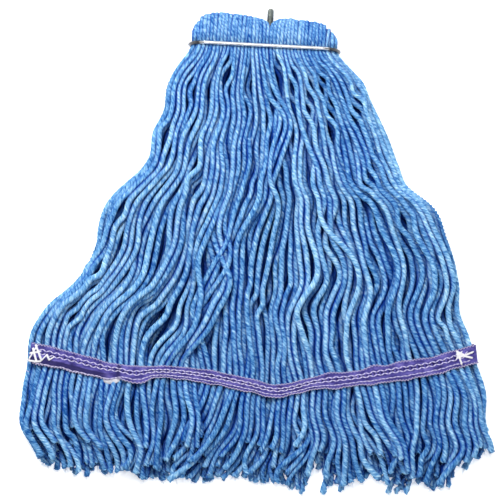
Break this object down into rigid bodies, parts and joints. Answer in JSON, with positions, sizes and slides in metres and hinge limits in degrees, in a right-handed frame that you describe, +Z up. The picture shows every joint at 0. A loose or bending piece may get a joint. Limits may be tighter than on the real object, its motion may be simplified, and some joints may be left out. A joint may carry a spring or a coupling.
{
  "type": "string mop head",
  "caption": "Screw-type string mop head: blue twisted yarn folded over a steel bar, clamped by a wire loop, with a sewn tail band and a threaded stud for a handle.",
  "frame": {"origin": "on the stud's axis, where the threaded end leaves the fold of the yarn", "axes": "+Y out of the mop along the stud, +X to the right, +Z up from the surface that the mop lies on"},
  "size_m": [0.392, 0.395, 0.036],
  "materials": {
    "yarn": "matte",
    "band_tape": "matte",
    "seam_thread": "matte",
    "tab_cloth": "matte",
    "galvanised_wire": "satin",
    "screw_steel": "satin",
    "bar_steel": "satin"
  },
  "bodies": {
    "skirt": {"front_hank_1": "yarn", "front_hank_2": "yarn", "front_hank_3": "yarn", "front_hank_4": "yarn", "front_hank_5": "yarn", "front_hank_6": "yarn", "back_hank_1": "yarn", "back_hank_2": "yarn", "back_hank_3": "yarn", "back_hank_4": "yarn", "back_hank_5": "yarn", "back_hank_6": "yarn", "tail_band_front": "band_tape", "tail_band_back": "band_tape", "band_seam_upper": "seam_thread", "band_seam_lower": "seam_thread", "bar_tack_left": "seam_thread", "bar_tack_right": "seam_thread", "band_tab": "tab_cloth"},
    "head": {"threaded_stud": "screw_steel", "crossbar": "bar_steel", "stud_washer": "screw_steel", "stud_nut": "screw_steel", "clamp_wire": "galvanised_wire", "head_hank_1": "yarn", "head_hank_2": "yarn", "head_hank_3": "yarn", "head_hank_4": "yarn", "head_hank_5": "yarn", "head_hank_6": "yarn"},
    "fringe": {"front_fringe_1": "yarn", "front_fringe_2": "yarn", "front_fringe_3": "yarn", "front_fringe_4": "yarn", "front_fringe_5": "yarn", "front_fringe_6": "yarn", "back_fringe_1": "yarn", "back_fringe_2": "yarn", "back_fringe_3": "yarn", "back_fringe_4": "yarn", "back_fringe_5": "yarn", "back_fringe_6": "yarn"}
  },
  "joints": [
    {"name": "head_tilt", "type": "hinge", "parent": "skirt", "child": "head", "pos_m": [0, -0.042, 0], "axis": [1, 0, 0], "range_deg": [0, 90]},
    {"name": "fringe_fold", "type": "hinge", "parent": "skirt", "child": "fringe", "pos_m": [0, -0.325, -0.005], "axis": [-1, 0, 0], "range_deg": [0, 90]}
  ]
}
